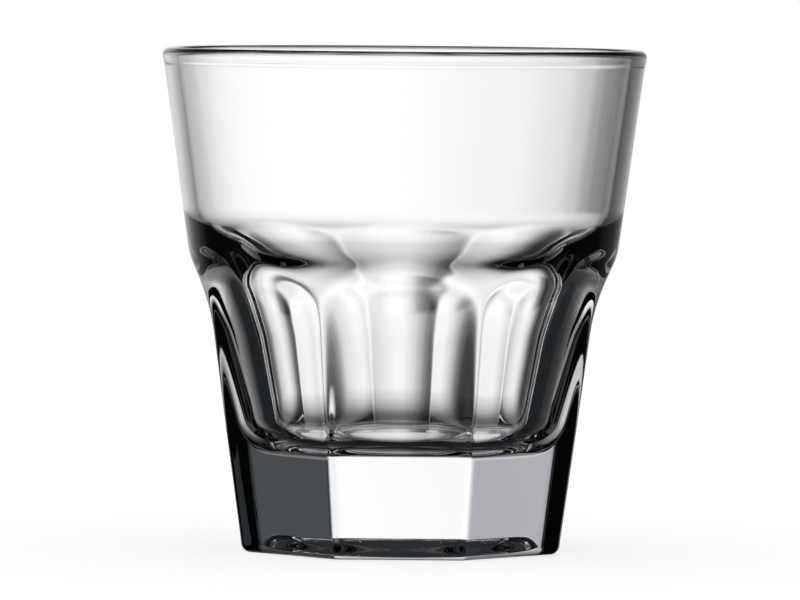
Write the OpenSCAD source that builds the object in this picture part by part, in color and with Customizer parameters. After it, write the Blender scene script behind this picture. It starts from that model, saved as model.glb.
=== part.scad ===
// Rocks glass: a clear pressed tumbler with flat panels below, a smooth round wall above and a thick base.
// Sizes are in millimetres. The origin is on the table under the glass's axis, +Z is up, and one panel faces -Y.
// The glass is a single pressing. Its zones are separate solids that meet face to face on level planes.

/* [Round wall] */
// Height from the table to the top of the rim
glass_h = 87; // [82:0.5:96]
// Outside diameter of the round wall where it meets the rim band
wall_d = 83.5; // [81:0.05:88]
// Lean of the round wall, in degrees from upright
wall_lean = 7.77; // [6:0.01:9]
// Thickness of the round wall, measured level
wall_t = 2.5; // [1.6:0.05:3]

/* [Rim] */
// Height of the band that the mould's ring line sets off under the rim
rim_band_h = 2.6; // [2:0.1:4]
// How far the rim band stands proud of the wall
rim_proud = 0.12; // [0.05:0.01:0.4]
// Radius that the rim's two top edges are melted to
rim_round = 1.3; // [0.6:0.05:1.6]

/* [Panels] */
// Number of flat panels
panel_count = 8; // [8:2:12]
// How far a panel's middle lies inside the round wall where the panel stops being flat
panel_in = 2.96; // [2:0.02:4]
// Lean of the panels, in degrees from upright
panel_lean = 7.79; // [7:0.01:8.5]
// Height where the panels stop being flat and start to flare
panel_h = 38; // [34:0.5:41]
// Radius of the flare at the top of each panel
flare_r = 31.5; // [26:0.5:38]

/* [Cavity] */
// Thickness of the glass under the cavity's floor
floor_t = 17.9; // [14:0.1:22]
// Glass between a panel's middle and the well's side, measured level at the floor
well_wall = 8.41; // [7:0.01:10]
// Lean of the well's side, in degrees from upright
well_lean = 16.7; // [12:0.1:19]
// Radius of the corner between the well's side and its floor
floor_round = 7.5; // [4:0.5:9]
// Height of the corner where the round wall's inner face turns in to the shoulder
turn_z = 56.4; // [54:0.1:60]
// Lean of the slope below that corner, in degrees from upright
slope_lean = 29.3; // [22:0.1:34]
// Height of that slope, down to the bend where it leans more
slope_h = 4.02; // [2.5:0.01:5]
// Lean of the slope below the bend, in degrees from upright
ledge_lean = 37.8; // [35:0.1:45]
// Radius that rounds the corner where the wall turns in
turn_round = 15; // [6:0.5:18]
// Radius that rounds the bend
bend_round = 17.5; // [4:0.5:20]
// Radius that rounds the lip where the lower slope meets the well
lip_round = 9.5; // [4:0.5:16]

/* [Foot] */
// Width of the foot at the table, from the hollow's edge to a panel's face
ring_w = 7.2; // [6:0.05:9]
// Depth of the hollow under the base
punt_h = 3.8; // [2:0.1:5]
// Level run of the hollow's sloping side
punt_run = 4.2; // [3:0.1:7]
// Radius between the hollow's side and its flat top
punt_round = 3; // [1:0.5:6]
// Radius of the rounded edge round the foot
foot_round = 1.8; // [1:0.1:2.5]

/* [Hidden] */
$fn = 128;
glass_tint = [0.87, 0.92, 0.93, 0.45];
// Slope of a line that leans, as sideways run for each unit of height
wall_run = tan(wall_lean);
panel_run = tan(panel_lean);
well_run = tan(well_lean);
slope_run = tan(slope_lean);
ledge_run = tan(ledge_lean);
// Levels of the mould's ring line, and where the well's side starts
rim_low_z = glass_h - rim_band_h;
base_top_z = floor_t + floor_round;
// Outside radius of the rim band at the ring line, and the rounding that its top has room for
rim_r = wall_d / 2 + rim_proud;
rim_edge = min(rim_round, 0.48 * (wall_t + rim_proud));
// Distance from the axis to a panel's flat face, carried down to the table
panel_foot_x = wall_r(panel_h) - panel_in - panel_h * panel_run;
// Centre of the flare's arc, in the plane through the axis and a panel's middle
flare_x = panel_x(panel_h) + flare_r * cos(panel_lean);
flare_z = panel_h - flare_r * sin(panel_lean);
// Radius of the hollow under the base at the table
punt_r = panel_foot_x - ring_w;
// Radius of the foot's edge
foot_edge_r = 1.01 * foot_round;
// Half the length of the prisms that cut the panels
reach = wall_d;
// Radius of the well at the floor
well_r = panel_x(floor_t) - well_wall;
// Corners of the cavity's outline, before rounding, as [radius, height]
wall_top = [bore_r(rim_low_z), rim_low_z];
turn = [bore_r(turn_z), turn_z];
bend = turn - slope_h * [slope_run, 1];
lip_z = (well_x(0) - bend[0] + bend[1] * ledge_run) / (ledge_run - well_run);
lip = [well_x(lip_z), lip_z];
floor_corner = [well_r, floor_t];
floor_middle = [0, floor_t];
// Roundings of these corners, limited by the slopes that they share
upper_slope = norm(turn - bend);
lower_slope = norm(bend - lip);
turn_r = fitting(wall_top, turn, bend, turn_round, 0.64 * upper_slope);
bend_r = fitting(turn, bend, lip, bend_round, 0.34 * min(upper_slope, lower_slope));
lip_r = fitting(bend, lip, floor_corner, lip_round, 0.6 * lower_slope);
// Level above both the arches of the panels and the rounded top of the cavity's step
shoulder_top_z = max(arch_top_z(), leg_end(wall_top, turn, bend, turn_r)[1]);

// Outside radius of the round wall at height z
function wall_r(z) = wall_d / 2 - (rim_low_z - z) * wall_run;
// Inside radius of the round wall at height z
function bore_r(z) = wall_r(z) - wall_t;
// Distance from the axis to a panel's flat face at height z
function panel_x(z) = panel_foot_x + z * panel_run;
// Radius of the well's side at height z
function well_x(z) = well_r + (z - floor_t) * well_run;
// Height where the middle of a panel's flare runs out through the round wall
function arch_top_z() =
    let (a = flare_x - wall_r(0))
    let (b = a * wall_run + flare_z)
    let (c = wall_run ^ 2 + 1)
    (b + sqrt(b ^ 2 - c * (a ^ 2 + flare_z ^ 2 - flare_r ^ 2))) / c;
// Unit vector, half the angle of a corner a, b, c, and the length that rounding to r takes off each leg
function unit(v) = v / norm(v);
function half_angle(a, b, c) = acos(unit(a - b) * unit(c - b)) / 2;
function leg(a, b, c, r) = r / tan(half_angle(a, b, c));
// Rounding of a corner a, b, c to r, or to less where its leg would be longer than room
function fitting(a, b, c, r, room) = min(r, room * tan(half_angle(a, b, c)));
// Point on the leg from corner b towards a where rounding to r starts
function leg_end(a, b, c, r) = b + unit(a - b) * leg(a, b, c, r);
// Centre of the arc of radius r that rounds the corner a, b, c
function round_centre(a, b, c, r) = b + unit(unit(a - b) + unit(c - b)) * r / sin(half_angle(a, b, c));

// Sliver between a corner a, b, c and the arc of radius r that rounds it, carried on past the corner
module corner_sliver(a, b, c, r) {
    centre = round_centre(a, b, c, r);
    difference() {
        polygon([b + (b - centre) / 4, leg_end(a, b, c, r), centre, leg_end(c, b, a, r)]);
        translate(centre) circle(r);
    }
}

// Outline of the cavity from its floor to the ring line
module cavity_outline() {
    lip_centre = round_centre(bend, lip, floor_corner, lip_r);
    difference() {
        polygon([
            floor_middle,
            floor_corner,
            leg_end(floor_corner, lip, bend, lip_r),
            lip_centre,
            leg_end(bend, lip, floor_corner, lip_r),
            bend,
            turn,
            wall_top,
            [0, rim_low_z],
        ]);
        translate(lip_centre) circle(lip_r);
        corner_sliver(turn, bend, lip, bend_r);
        corner_sliver(wall_top, turn, bend, turn_r);
        corner_sliver(lip, floor_corner, floor_middle, floor_round);
    }
}

module cavity() {
    rotate_extrude() cavity_outline();
}

// Hollow under the base, with a sloping side and a flat top
module punt() {
    low = [punt_r + punt_run, -punt_h];
    top = [punt_r - punt_run, punt_h];
    middle = [0, punt_h];
    rotate_extrude()
        difference() {
            polygon([[0, -punt_h], low, top, middle]);
            corner_sliver(low, top, middle, punt_round);
        }
}

// Full cone of the round wall between two heights
module round_body(low, high) {
    translate([0, 0, low])
        cylinder(h = high - low, r1 = wall_r(low), r2 = wall_r(high));
}

// A pair of opposite panels as a prism with the given outline, repeated round the axis
module panels_round() {
    intersection_for (k = [0 : panel_count / 2 - 1])
        rotate([90, 0, k * 360 / panel_count])
            linear_extrude(height = 2 * reach, center = true)
                children();
}

// Both halves of an outline that is the same on either side of the axis
module both_sides() {
    children();
    mirror([1, 0]) children();
}

module flat_outline(low, high) {
    polygon([
        [-panel_x(low), low],
        [panel_x(low), low],
        [panel_x(high), high],
        [-panel_x(high), high],
    ]);
}

// Panelled body between two heights below the flare
module flat_body(low, high) {
    intersection() {
        round_body(low, high);
        panels_round() flat_outline(low, high);
    }
}

// Outline of two panels at the foot. The edge's arc crosses the faces at a slight angle instead of touching
// them, so that the arcs of neighbouring panels meet cleanly at the ridges.
module foot_outline() {
    inner = [0, 0];
    edge = [panel_x(0), 0];
    upper = [panel_x(foot_round), foot_round];
    centre = round_centre(inner, edge, upper, foot_round);
    difference() {
        flat_outline(0, foot_round);
        both_sides()
            difference() {
                polygon([
                    edge + (edge - centre) / 4,
                    leg_end(inner, edge, upper, foot_round),
                    centre,
                    leg_end(upper, edge, inner, foot_round),
                ]);
                translate(centre) circle(foot_edge_r);
            }
    }
}

// Outline of two panels where they flare out to the round wall
module flare_outline(low, high) {
    difference() {
        polygon([[-flare_x, low], [flare_x, low], [flare_x, high], [-flare_x, high]]);
        both_sides() translate([flare_x, flare_z]) circle(flare_r);
    }
}

// Bearing ring that the glass stands on, with its rounded outer edge
module foot_ring() {
    color(glass_tint)
    difference() {
        intersection() {
            round_body(0, foot_round);
            panels_round() foot_outline();
        }
        punt();
    }
}

// Thick solid base, with the rounded bottom of the well in its top
module base() {
    color(glass_tint)
    difference() {
        flat_body(foot_round, base_top_z);
        punt();
        cavity();
    }
}

// Thick wall with the flat panels, round the well
module panel_wall() {
    color(glass_tint)
    difference() {
        flat_body(base_top_z, panel_h);
        cavity();
    }
}

// Zone where the panels arch out to the round wall and the cavity steps out
module shoulder() {
    color(glass_tint)
    difference() {
        intersection() {
            round_body(panel_h, shoulder_top_z);
            panels_round() flare_outline(panel_h, shoulder_top_z);
        }
        cavity();
    }
}

// Smooth thin wall up to the mould's ring line
module upper_wall() {
    color(glass_tint)
    rotate_extrude()
        polygon([
            [bore_r(shoulder_top_z), shoulder_top_z],
            [wall_r(shoulder_top_z), shoulder_top_z],
            [wall_r(rim_low_z), rim_low_z],
            wall_top,
        ]);
}

// Melted rim with its slightly proud band
module rim() {
    out_low = [rim_r, rim_low_z];
    out_top = [rim_r + rim_band_h * wall_run, glass_h];
    in_top = [bore_r(glass_h), glass_h];
    color(glass_tint)
    rotate_extrude()
        difference() {
            polygon([wall_top, out_low, out_top, in_top]);
            corner_sliver(out_low, out_top, in_top, rim_edge);
            corner_sliver(out_top, in_top, wall_top, rim_edge);
        }
}

foot_ring();
base();
panel_wall();
shoulder();
upper_wall();
rim();
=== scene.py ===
"""Looks of the rocks glass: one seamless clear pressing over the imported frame, on a pale studio floor."""

import math

import bpy
import numpy as np
from mathutils import Matrix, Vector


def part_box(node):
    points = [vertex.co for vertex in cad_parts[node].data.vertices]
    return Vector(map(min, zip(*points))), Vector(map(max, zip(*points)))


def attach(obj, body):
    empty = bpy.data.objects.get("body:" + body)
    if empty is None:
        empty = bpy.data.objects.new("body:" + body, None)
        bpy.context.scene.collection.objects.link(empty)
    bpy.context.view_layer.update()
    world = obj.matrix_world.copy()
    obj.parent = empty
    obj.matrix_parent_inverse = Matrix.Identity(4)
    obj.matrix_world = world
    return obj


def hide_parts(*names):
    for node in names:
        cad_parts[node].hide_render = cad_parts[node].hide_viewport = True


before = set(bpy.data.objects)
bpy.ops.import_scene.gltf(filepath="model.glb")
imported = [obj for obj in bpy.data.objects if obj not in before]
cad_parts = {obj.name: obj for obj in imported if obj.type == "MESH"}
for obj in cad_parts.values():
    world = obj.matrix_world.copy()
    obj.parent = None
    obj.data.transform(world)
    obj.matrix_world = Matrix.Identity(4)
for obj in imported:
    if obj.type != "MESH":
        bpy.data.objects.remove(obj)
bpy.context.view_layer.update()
scene = bpy.context.scene
scene.view_settings.view_transform = "Standard"
MM = 0.001


def level(node, end):
    """Height of a CAD node's bottom (end 0) or top (end 1), in millimetres."""
    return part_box(node)[end].z / MM


def half_width(node):
    """Half the width of a CAD node along X, in millimetres."""
    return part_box(node)[1].x / MM


# Outside sizes, taken from the frame, in millimetres
GLASS_H = level("rim", 1)
RIM_LOW = level("rim", 0)
WALL_R = half_width("upper_wall")
WALL_RUN = (WALL_R - half_width("shoulder")) / (RIM_LOW - level("shoulder", 1))
FOOT_ROUND = level("foot_ring", 1)
PANEL_H = level("panel_wall", 1)
PANEL_RUN = (half_width("base") - half_width("foot_ring")) / (level("base", 1) - FOOT_ROUND)
PANEL_FOOT = half_width("foot_ring") - FOOT_ROUND * PANEL_RUN

# Sizes that no box shows, the same as in the part's source, in millimetres
PANELS = 8
FLARE_R = 31.5
WALL_T = 2.5
RIM_PROUD = 0.12
RIM_ROUND = 1.3
FLOOR_T = 17.9
WELL_WALL = 8.41
WELL_RUN = math.tan(math.radians(16.7))
FLOOR_ROUND = 7.5
TURN_Z = 56.4
SLOPE_RUN = math.tan(math.radians(29.3))
SLOPE_H = 4.02
LEDGE_RUN = math.tan(math.radians(37.8))
TURN_ROUND = 15.0
BEND_ROUND = 17.5
LIP_ROUND = 9.5
PUNT_H = 3.8

# Middle of the sloping side of the hollow under the base, and half its width, in millimetres
PUNT_R = 18.0
PUNT_SOFT = 2.6

# Small features of a fire-polished pressing, in millimetres
RIDGE_SOFT = 0.15
ARCH_SOFT = 0.35
RING_LINE_SOFT = 0.3
DOT_R = 0.5
DOT_DEPTH = 0.16
DOT_PITCH = 1.35
DOT_ROWS = (21.6, 22.9, 24.2)
CHANNEL_EDGE = 0.6 * DOT_PITCH

# Columns of the skin's grid for each half panel, and how many times finer it is under the stippled foot
HALF_COLUMNS = 18
FINE = 4

# Rows of the skin's grid on each stretch, from the middle of the hollow round to the cavity's floor
PUNT_TOP_ROWS = 14
PUNT_SIDE_ROWS = 16
DOT_ROW_STEP = 0.11
FOOT_ROWS = 12
PANEL_ROWS = 17
UNDER_ARCH_ROWS = 38
OVER_ARCH_ROWS = 24
WALL_ROWS = 16
RING_LINE_ROWS = 34
BAND_ROWS = 3
RIM_ROWS = 18
CAVITY_ROWS = 190

# Reach of the finer rows from the panels' top and from the ring line, and the small flats at the skin's ends
UNDER_ARCH = PANEL_H - 2
OVER_ARCH = PANEL_H + 16
RING_LINE_REACH = 1.1
PUNT_MIDDLE = 0.6
FLOOR_MIDDLE = 0.8


def wall_r(z):
    return WALL_R - (RIM_LOW - z) * WALL_RUN


def bore_r(z):
    return wall_r(z) - WALL_T


def panel_x(z):
    """Distance from the axis to a panel's middle: flat below, then flaring out on an arc."""
    lean = math.atan(PANEL_RUN)
    sine = np.clip(math.sin(lean) + (z - PANEL_H) / FLARE_R, -0.95, 0.95)
    flare = PANEL_FOOT + PANEL_RUN * PANEL_H + FLARE_R * (math.cos(lean) - np.sqrt(1 - sine * sine))
    return np.where(z <= PANEL_H, PANEL_FOOT + PANEL_RUN * z, flare)


def eased(t):
    """A share from 0 to 1 that starts and ends softly."""
    return t * t * (3 - 2 * t)


def outside_r(turn, z):
    """Radius at an angle from the nearest panel's middle: the least of panels and cone, with soft edges."""
    pitch = 2 * math.pi / PANELS
    z = np.broadcast_to(np.asarray(z, float), turn.shape)
    faces = [panel_x(z) / np.cos(turn + k * pitch) for k in (-1, 0, 1)]
    near = np.stack(faces + [wall_r(z)])
    least = near.min(axis=0)
    rise = np.clip((z - FLOOR_T) / (PANEL_H - FLOOR_T), 0, 1)
    soft = RIDGE_SOFT + (ARCH_SOFT - RIDGE_SOFT) * eased(rise)
    return least - soft * np.log(np.exp((least - near) / soft).sum(axis=0))


def arch_z(turn):
    """Height where a panel's flare runs out through the round wall, found by halving."""
    low, high = np.full_like(turn, PANEL_H - 8), np.full_like(turn, PANEL_H + 18)
    for _ in range(50):
        middle = (low + high) / 2
        inside = panel_x(middle) / np.cos(turn) < wall_r(middle)
        low, high = np.where(inside, middle, low), np.where(inside, high, middle)
    return (low + high) / 2


def crowded(count, power):
    """Shares from 0 to 1 that crowd towards 1, without the 0."""
    return 1 - (1 - np.linspace(0, 1, count + 1)[1:]) ** power


def rounded(corners, radii, steps=16):
    """Points along an outline with corners rounded by arcs; neighbouring arcs share the leg between them."""
    points = [np.array(c, float) for c in corners]
    half, cut = [0.0] * len(points), [0.0] * len(points)
    for i in range(1, len(points) - 1):
        u, v = points[i - 1] - points[i], points[i + 1] - points[i]
        half[i] = math.acos(u @ v / np.linalg.norm(u) / np.linalg.norm(v)) / 2
        cut[i] = radii[i] / math.tan(half[i])
    for i in range(len(points) - 1):
        share = 0.999 * np.linalg.norm(points[i + 1] - points[i]) / max(cut[i] + cut[i + 1], 1e-9)
        if share < 1:
            cut[i] *= share
            cut[i + 1] *= share
    made = [points[0]]
    for i in range(1, len(points) - 1):
        u, v = points[i - 1] - points[i], points[i + 1] - points[i]
        u, v = u / np.linalg.norm(u), v / np.linalg.norm(v)
        radius = cut[i] * math.tan(half[i])
        centre = points[i] + (u + v) / np.linalg.norm(u + v) * radius / math.sin(half[i])
        first, last = points[i] + u * cut[i] - centre, points[i] + v * cut[i] - centre
        start = math.atan2(first[1], first[0])
        sweep = (math.atan2(last[1], last[0]) - start + math.pi) % (2 * math.pi) - math.pi
        for t in np.linspace(0, 1, steps):
            angle = start + sweep * t
            made.append(centre + radius * np.array([math.cos(angle), math.sin(angle)]))
    return np.array(made + [points[-1]])


def cavity_outline():
    """Radii and heights from the inside of the rim down to the middle of the floor, evenly spaced."""
    top = GLASS_H - RIM_ROUND
    well_r = float(panel_x(FLOOR_T)) - WELL_WALL
    bend_r, bend_z = bore_r(TURN_Z) - SLOPE_H * SLOPE_RUN, TURN_Z - SLOPE_H
    lip_z = (well_r - FLOOR_T * WELL_RUN - bend_r + bend_z * LEDGE_RUN) / (LEDGE_RUN - WELL_RUN)
    line = rounded(
        [(bore_r(top), top), (bore_r(TURN_Z), TURN_Z), (bend_r, bend_z),
         (well_r + (lip_z - FLOOR_T) * WELL_RUN, lip_z), (well_r, FLOOR_T), (FLOOR_MIDDLE, FLOOR_T)],
        [0, TURN_ROUND, BEND_ROUND, LIP_ROUND, FLOOR_ROUND, 0])
    legs = np.linalg.norm(np.diff(line, axis=0), axis=1)
    line, legs = line[np.concatenate([[True], legs > 1e-6])], legs[legs > 1e-6]
    along = np.concatenate([[0], np.cumsum(legs)])
    even = np.linspace(0, along[-1], CAVITY_ROWS)
    return np.interp(even, along, line[:, 0]), np.interp(even, along, line[:, 1])


half_turns = np.concatenate([[0], crowded(HALF_COLUMNS, 2.0)]) * math.pi / PANELS
panel_turns = np.concatenate([-half_turns[::-1], half_turns[1:]])[:-1]
TURN = np.tile(panel_turns, PANELS)
# One panel faces -Y
ANGLE = np.concatenate([panel_turns + k * 2 * math.pi / PANELS for k in range(PANELS)]) - math.pi / 2
steps = np.diff(np.concatenate([ANGLE, [ANGLE[0] + 2 * math.pi]]))
FINE_ANGLE = (ANGLE[:, None] + steps[:, None] * np.arange(FINE) / FINE).ravel()


def ring(r, z, angle=ANGLE):
    """A ring of points round the axis."""
    r, z = np.broadcast_to(r, angle.shape), np.broadcast_to(z, angle.shape)
    return np.stack([r * np.cos(angle), r * np.sin(angle), z], axis=1)


def stipple(r, angle):
    """Height of the bearing ring's surface: dots of glass reach the table from a shallow channel."""
    inner, outer = DOT_ROWS[0] - DOT_PITCH, DOT_ROWS[-1] + DOT_PITCH
    channel = eased(np.clip(min(r - inner, outer - r) / CHANNEL_EDGE, 0, 1))
    dots = np.zeros_like(angle)
    for k, row_r in enumerate(DOT_ROWS):
        count = round(2 * math.pi * row_r / DOT_PITCH)
        turn = 2 * math.pi / count
        across = ((angle + turn * k / 2 + turn / 2) % turn - turn / 2) * row_r
        near = np.clip(1 - (across ** 2 + (r - row_r) ** 2) / DOT_R ** 2, 0, 1)
        dots = np.maximum(dots, np.sqrt(near))
    return DOT_DEPTH * channel * (1 - dots)


def foot_rings():
    """The hollow under the base, the stippled bearing ring and the foot's rounded edge."""
    rings = [ring(r, PUNT_H) for r in np.linspace(PUNT_MIDDLE, PUNT_R - PUNT_SOFT, PUNT_TOP_ROWS)]
    for t in np.linspace(0, 1, PUNT_SIDE_ROWS + 1)[1:]:
        rings.append(ring(PUNT_R - PUNT_SOFT + 2 * PUNT_SOFT * t, PUNT_H * (1 - eased(t))))
    for r in np.arange(DOT_ROWS[0] - DOT_PITCH, DOT_ROWS[-1] + DOT_PITCH, DOT_ROW_STEP):
        if r > PUNT_R + PUNT_SOFT + 0.02:
            rings.append(ring(r, stipple(r, FINE_ANGLE), FINE_ANGLE))
    foot = outside_r(TURN, FOOT_ROUND)
    for a in np.linspace(0, math.pi / 2, FOOT_ROWS):
        rings.append(ring(foot - FOOT_ROUND * (1 - math.sin(a)), FOOT_ROUND * (1 - math.cos(a))))
    return rings


def panel_rings():
    """The panels, with rows that crowd towards the arches from both sides."""
    arch = arch_z(np.abs(TURN))
    heights = list(np.linspace(FOOT_ROUND, UNDER_ARCH, PANEL_ROWS + 1)[1:])
    heights += [UNDER_ARCH + (arch - UNDER_ARCH) * f for f in crowded(UNDER_ARCH_ROWS, 1.8)]
    heights += [arch + (OVER_ARCH - arch) * f for f in 1 - crowded(OVER_ARCH_ROWS, 2.2)[-2::-1]]
    return [ring(outside_r(TURN, z), z) for z in heights]


def wall_rings():
    """The round wall and the rim band, which stands proud above the ring line."""
    line = RIM_LOW + np.linspace(-RING_LINE_REACH, RING_LINE_REACH, RING_LINE_ROWS)
    below = np.linspace(OVER_ARCH, line[0], WALL_ROWS)
    above = np.linspace(line[-1], GLASS_H - RIM_ROUND, BAND_ROWS + 1)
    heights = np.concatenate([below, line[1:], above[1:]])
    proud = RIM_PROUD * (0.5 + 0.5 * np.tanh((heights - RIM_LOW) / RING_LINE_SOFT))
    return [ring(wall_r(z) + p, z) for z, p in zip(heights, proud)]


def rim_rings(inside_r):
    """The melted curve over the rim, from the outside to the radius inside."""
    top = GLASS_H - RIM_ROUND
    outside = wall_r(top) + RIM_PROUD
    middle, half = (outside + inside_r) / 2, (outside - inside_r) / 2
    turns = np.linspace(0, math.pi, RIM_ROWS + 2)[1:-1]
    return [ring(middle + half * math.cos(a), top + RIM_ROUND * math.sin(a)) for a in turns]


def skin_rings():
    """Rings from the middle of the hollow under the base, up the outside and down the cavity."""
    cavity_r, cavity_z = cavity_outline()
    outside = foot_rings() + panel_rings() + wall_rings() + rim_rings(cavity_r[0])
    return outside + [ring(r, z) for r, z in zip(cavity_r, cavity_z)]


def skin(name, rings):
    """A closed smooth mesh through the rings; a ring may have several times its neighbour's points."""
    first = np.concatenate([[0], np.cumsum([len(r) for r in rings])])
    faces = [list(range(len(rings[0])))[::-1], list(range(first[-2], first[-1]))]
    for i, (low, high) in enumerate(zip(rings, rings[1:])):
        columns = min(len(low), len(high))
        a, b = len(low) // columns, len(high) // columns
        for j in range(columns):
            under = [first[i] + (j * a + t) % len(low) for t in range(a + 1)]
            over = [first[i + 1] + (j * b + t) % len(high) for t in range(b + 1)]
            faces.append(under + over[::-1])
    mesh = bpy.data.meshes.new(name)
    mesh.from_pydata((np.concatenate(rings) * MM).tolist(), [], faces)
    mesh.shade_smooth()
    mesh.update()
    made = bpy.data.objects.new(name, mesh)
    scene.collection.objects.link(made)
    return made


def clear_glass():
    """Clear soda glass: smooth, very slightly wavy from the mould, with a trace of tint in the thick base."""
    material = bpy.data.materials.new("clear_glass")
    material.use_nodes = True
    tree = material.node_tree
    shader = tree.nodes["Principled BSDF"]
    shader.inputs["Base Color"].default_value = (1.0, 1.0, 1.0, 1.0)
    shader.inputs["Transmission Weight"].default_value = 1.0
    shader.inputs["IOR"].default_value = 1.52
    place = tree.nodes.new("ShaderNodeTexCoord")
    wave = tree.nodes.new("ShaderNodeTexNoise")
    wave.inputs["Scale"].default_value = 70.0
    wave.inputs["Detail"].default_value = 1.0
    bump = tree.nodes.new("ShaderNodeBump")
    bump.inputs["Strength"].default_value = 1.0
    bump.inputs["Distance"].default_value = 0.00002
    film = tree.nodes.new("ShaderNodeTexNoise")
    film.inputs["Scale"].default_value = 220.0
    film.inputs["Detail"].default_value = 3.0
    polish = tree.nodes.new("ShaderNodeMapRange")
    polish.inputs["From Min"].default_value = 0.35
    polish.inputs["From Max"].default_value = 0.75
    polish.inputs["To Min"].default_value = 0.0
    polish.inputs["To Max"].default_value = 0.02
    tint = tree.nodes.new("ShaderNodeVolumeAbsorption")
    tint.inputs["Color"].default_value = (0.86, 0.95, 0.94, 1.0)
    tint.inputs["Density"].default_value = 3.0
    tree.links.new(place.outputs["Object"], wave.inputs["Vector"])
    tree.links.new(place.outputs["Object"], film.inputs["Vector"])
    tree.links.new(wave.outputs["Fac"], bump.inputs["Height"])
    tree.links.new(bump.outputs["Normal"], shader.inputs["Normal"])
    tree.links.new(film.outputs["Fac"], polish.inputs["Value"])
    tree.links.new(polish.outputs["Result"], shader.inputs["Roughness"])
    tree.links.new(tint.outputs["Volume"], tree.nodes["Material Output"].inputs["Volume"])
    return material


glass = skin("glass", skin_rings())
glass.data.materials.append(clear_glass())
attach(glass, "root")
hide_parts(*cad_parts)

# Camera at the photograph's place, in millimetres and degrees: a long lens a little above the rim
VIEW_TURN = -0.65
VIEW_DISTANCE = 1370.0
VIEW_HEIGHT = 104.5
VIEW_AIM = 43.3
VIEW_X = -0.5
VIEW_ROLL = 0.45
IMAGE_WIDTH = 800
PIXELS_PER_MM = 5.76
SENSOR_WIDTH = 36.0

# Floor: half its width and how far it lies under the glass, in metres
FLOOR_HALF = 6.0
FLOOR_DROP = 0.00005

# Studio that the glass shows: how far it is turned from straight behind the glass, in degrees, and how strong
# it is. Its greys follow by compass angle and by height, as (degrees, grey) or (degrees, red, green, blue).
STUDIO_TURN = -1.55
STUDIO_STRENGTH = 1.2

# Rays that pass straight through see a screen on each of four sides, and another one low down
SCREEN = [
    (-40, 0.5), (-27, 0.66, 0.66, 0.69), (-20, 0.82), (-16, 0.9), (-11, 0.91), (-9, 0.95), (-5, 1), (0, 1),
    (3, 0.95), (5, 0.9), (7, 0.81), (9, 0.67), (11, 0.56), (14, 0.45), (17, 0.27), (20, 0.2),
    (25, 0.28, 0.3, 0.31), (30, 0.28, 0.3, 0.31), (40, 0.12)]
LOW_SCREEN = [
    (-40, 0.4), (-30, 0.42), (-26, 0.5), (-22, 0.64), (-19, 0.78), (-16, 0.89), (-11, 0.94), (-7, 0.97),
    (-3, 1), (2, 1), (5, 0.95), (7, 0.91), (9, 0.86), (11, 0.79), (13, 0.71), (16, 0.55), (19, 0.42),
    (23, 0.28), (28, 0.26), (36, 0.3)]
LOWNESS = [(-90, 1), (-9, 1), (-4, 0), (90, 0)]
HEIGHTS = [
    (-90, 0.3), (-54, 0.4), (-45, 0.4), (-40, 0.45), (-36, 0.55), (-30, 0.69), (-26, 0.77), (-20, 0.87),
    (-14, 0.95), (-10, 0.97), (-4, 1), (1, 1), (4, 0.96), (9, 0.96), (12, 0.98), (17, 0.97), (30, 0.75),
    (50, 0.35), (90, 0.05)]

# Between the four screens they see the pale floor
FLOOR = [(-10, 0), (-4, 1), (7, 1), (14, 0)]
FLOOR_HEIGHTS = [(-90, 0.2), (-50, 0.3), (-36, 1), (-10, 1), (-5, 0), (90, 0)]

# Rays that the glass turns round inside see one screen between dark sides, and never less than a faint glow
DARK_SIDES = [
    (-180, 0.3), (-115, 0.25), (-85, 0.2), (-68, 0.22), (-60, 0.07), (-54, 0.07), (-49, 0.25), (-45, 0.4),
    (-35, 0.6), (-27, 0.72), (-21, 0.8), (-9, 0.84), (-3, 0.9), (3, 0.9), (9, 0.72), (15, 0.6), (21, 0.5),
    (27, 0.44), (35, 0.37), (45, 0.33), (55, 0.18), (62, 0.06), (75, 0.03), (90, 0.12), (115, 0.25),
    (180, 0.3)]
TURNED_HEIGHTS = [
    (-90, 0.15), (-70, 0.2), (-55, 0.3), (-45, 0.4), (-36, 0.52), (-25, 0.58), (-16, 0.66), (-8, 0.82),
    (-2, 1), (12, 1), (22, 0.6), (32, 0.3), (45, 0.15), (90, 0.1)]
GLOW = [
    (-90, 0.11, 0.12, 0.13), (-48, 0.1, 0.11, 0.12), (-36, 0.13, 0.14, 0.15), (-20, 0.14, 0.15, 0.16),
    (-12, 0.16, 0.17, 0.18), (90, 0.17, 0.18, 0.19)]


def ramp(tree, socket, span, stops):
    """Colours by angle from -span to span; the stops' colours are given as they look on a screen."""
    share = tree.nodes.new("ShaderNodeMapRange")
    share.inputs["From Min"].default_value = -span
    share.inputs["From Max"].default_value = span
    tree.links.new(socket, share.inputs["Value"])
    node = tree.nodes.new("ShaderNodeValToRGB")
    line = node.color_ramp
    line.interpolation = "EASE"
    line.elements.remove(line.elements[-1])
    for i, (degrees, *colour) in enumerate(stops):
        place = (math.radians(degrees) + span) / (2 * span)
        stop = line.elements[0] if i == 0 else line.elements.new(place)
        stop.position = place
        colour = colour if len(colour) == 3 else colour * 3
        stop.color = [c ** 2.2 for c in colour] + [1]
    tree.links.new(share.outputs["Result"], node.inputs["Fac"])
    return node.outputs["Color"]


def wrapped(tree, angle, middle, reach):
    """Angle from middle, or from the nearest of the sides that follow it every two reaches round."""
    off = tree.nodes.new("ShaderNodeMath")
    off.operation = "SUBTRACT"
    off.inputs[1].default_value = middle
    tree.links.new(angle, off.inputs[0])
    node = tree.nodes.new("ShaderNodeMath")
    node.operation = "WRAP"
    node.inputs[1].default_value = -reach
    node.inputs[2].default_value = reach
    tree.links.new(off.outputs[0], node.inputs[0])
    return node.outputs[0]


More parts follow.
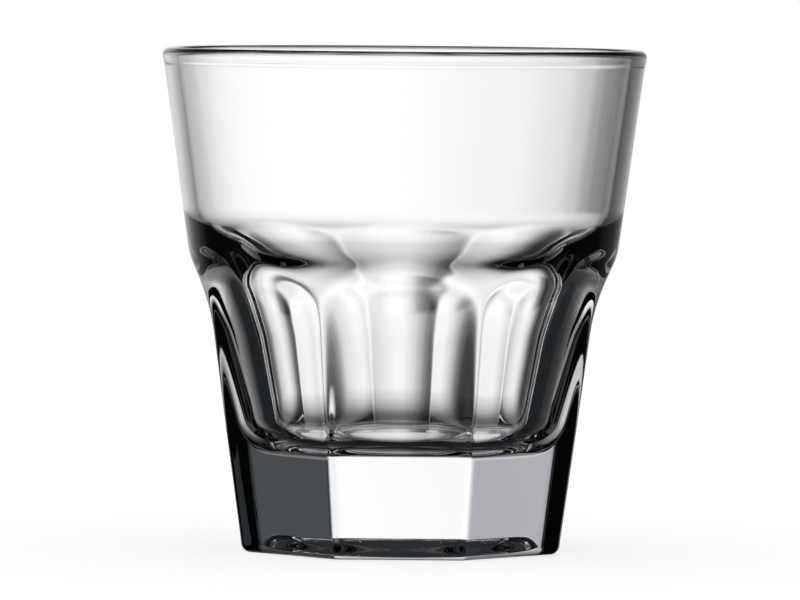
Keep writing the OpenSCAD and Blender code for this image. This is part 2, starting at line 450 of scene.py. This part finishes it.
def mixed(tree, kind, a, b, share=None):
    """Two colours mixed, wholly or by the share that a socket gives."""
    node = tree.nodes.new("ShaderNodeMix")
    node.data_type = "RGBA"
    node.blend_type = kind
    node.inputs["Factor"].default_value = 1.0
    if share is not None:
        tree.links.new(share, node.inputs["Factor"])
    tree.links.new(a, node.inputs[6])
    tree.links.new(b, node.inputs[7])
    return node.outputs[2]


def either_shader(tree, path, plain, for_glass):
    """One shader for the camera and the light, and another for rays that have met the glass."""
    met = tree.nodes.new("ShaderNodeMath")
    met.operation = "MAXIMUM"
    tree.links.new(path.outputs["Is Transmission Ray"], met.inputs[0])
    tree.links.new(path.outputs["Is Glossy Ray"], met.inputs[1])
    both = tree.nodes.new("ShaderNodeMixShader")
    tree.links.new(met.outputs[0], both.inputs["Fac"])
    tree.links.new(plain.outputs[0], both.inputs[1])
    tree.links.new(for_glass.outputs[0], both.inputs[2])
    return both.outputs["Shader"]


def ray_angles(tree):
    """Compass angle from straight behind the glass and height of a ray, in radians."""
    place = tree.nodes.new("ShaderNodeTexCoord")
    axes = tree.nodes.new("ShaderNodeSeparateXYZ")
    compass = tree.nodes.new("ShaderNodeMath")
    compass.operation = "ARCTAN2"
    height = tree.nodes.new("ShaderNodeMath")
    height.operation = "ARCSINE"
    tree.links.new(place.outputs["Generated"], axes.inputs["Vector"])
    tree.links.new(axes.outputs["X"], compass.inputs[0])
    tree.links.new(axes.outputs["Y"], compass.inputs[1])
    tree.links.new(axes.outputs["Z"], height.inputs[0])
    return compass.outputs[0], height.outputs[0]


def studio_colour(tree, path):
    """What the glass shows: bright screens for rays that pass straight through, dark sides for the others."""
    compass, height = ray_angles(tree)

    def by_height(stops):
        return ramp(tree, height, math.pi / 2, stops)

    quarter = math.pi / 4
    middle = math.radians(STUDIO_TURN)
    facing = wrapped(tree, compass, middle, quarter)
    between = wrapped(tree, compass, middle + quarter, quarter)
    all_round = wrapped(tree, compass, middle, math.pi)
    level_screen, low_screen = ramp(tree, facing, quarter, SCREEN), ramp(tree, facing, quarter, LOW_SCREEN)
    screen = mixed(tree, "MIX", level_screen, low_screen, by_height(LOWNESS))
    screens = mixed(tree, "MULTIPLY", screen, by_height(HEIGHTS))
    floor = mixed(tree, "MULTIPLY", ramp(tree, between, quarter, FLOOR), by_height(FLOOR_HEIGHTS))
    straight = mixed(tree, "LIGHTEN", screens, floor)
    sides = mixed(tree, "MULTIPLY", ramp(tree, all_round, math.pi, DARK_SIDES), by_height(TURNED_HEIGHTS))
    turned = mixed(tree, "LIGHTEN", sides, by_height(GLOW))
    return mixed(tree, "MIX", straight, turned, path.outputs["Glossy Depth"])


def studio():
    """White to the camera, even light on the floor, and screens and dark sides for the glass."""
    world = bpy.data.worlds.new("studio")
    scene.world = world
    world.use_nodes = True
    tree = world.node_tree
    tree.nodes.clear()
    path = tree.nodes.new("ShaderNodeLightPath")
    plain = tree.nodes.new("ShaderNodeBackground")
    plain.inputs["Color"].default_value = (1, 1, 1, 1)
    graded = tree.nodes.new("ShaderNodeBackground")
    graded.inputs["Strength"].default_value = STUDIO_STRENGTH
    tree.links.new(studio_colour(tree, path), graded.inputs["Color"])
    out = tree.nodes.new("ShaderNodeOutputWorld")
    tree.links.new(either_shader(tree, path, plain, graded), out.inputs["Surface"])


def pale_floor():
    """A wide pale floor that takes the shadow; rays that leave the glass pass it and show the studio."""
    mesh = bpy.data.meshes.new("floor")
    corners = [(x * FLOOR_HALF, y * FLOOR_HALF, -FLOOR_DROP) for x, y in ((-1, -1), (1, -1), (1, 1), (-1, 1))]
    mesh.from_pydata(corners, [], [(0, 1, 2, 3)])
    made = bpy.data.objects.new("floor", mesh)
    scene.collection.objects.link(made)
    material = bpy.data.materials.new("pale_floor")
    material.use_nodes = True
    tree = material.node_tree
    shader = tree.nodes["Principled BSDF"]
    shader.inputs["Base Color"].default_value = (0.3, 0.3, 0.3, 1)
    shader.inputs["Roughness"].default_value = 1.0
    shader.inputs["Specular IOR Level"].default_value = 0.0
    shader.inputs["Emission Color"].default_value = (1, 1, 1, 1)
    shader.inputs["Emission Strength"].default_value = 0.72
    path = tree.nodes.new("ShaderNodeLightPath")
    unseen = tree.nodes.new("ShaderNodeBsdfTransparent")
    surface = tree.nodes["Material Output"].inputs["Surface"]
    tree.links.new(either_shader(tree, path, shader, unseen), surface)
    mesh.materials.append(material)


def camera():
    """The photograph's view, turned round the glass's axis and rolled a little."""
    pitch = math.atan2(VIEW_HEIGHT - VIEW_AIM, VIEW_DISTANCE)
    data = bpy.data.cameras.new("camera")
    data.sensor_width = SENSOR_WIDTH
    data.lens = SENSOR_WIDTH * VIEW_DISTANCE * PIXELS_PER_MM / IMAGE_WIDTH
    made = bpy.data.objects.new("camera", data)
    scene.collection.objects.link(made)
    place = Matrix.Translation((VIEW_X * MM, -VIEW_DISTANCE * MM, VIEW_HEIGHT * MM))
    tilt = Matrix.Rotation(math.pi / 2 - pitch, 4, "X") @ Matrix.Rotation(math.radians(VIEW_ROLL), 4, "Z")
    made.matrix_world = Matrix.Rotation(-math.radians(VIEW_TURN), 4, "Z") @ place @ tilt
    scene.camera = made


studio()
pale_floor()
camera()
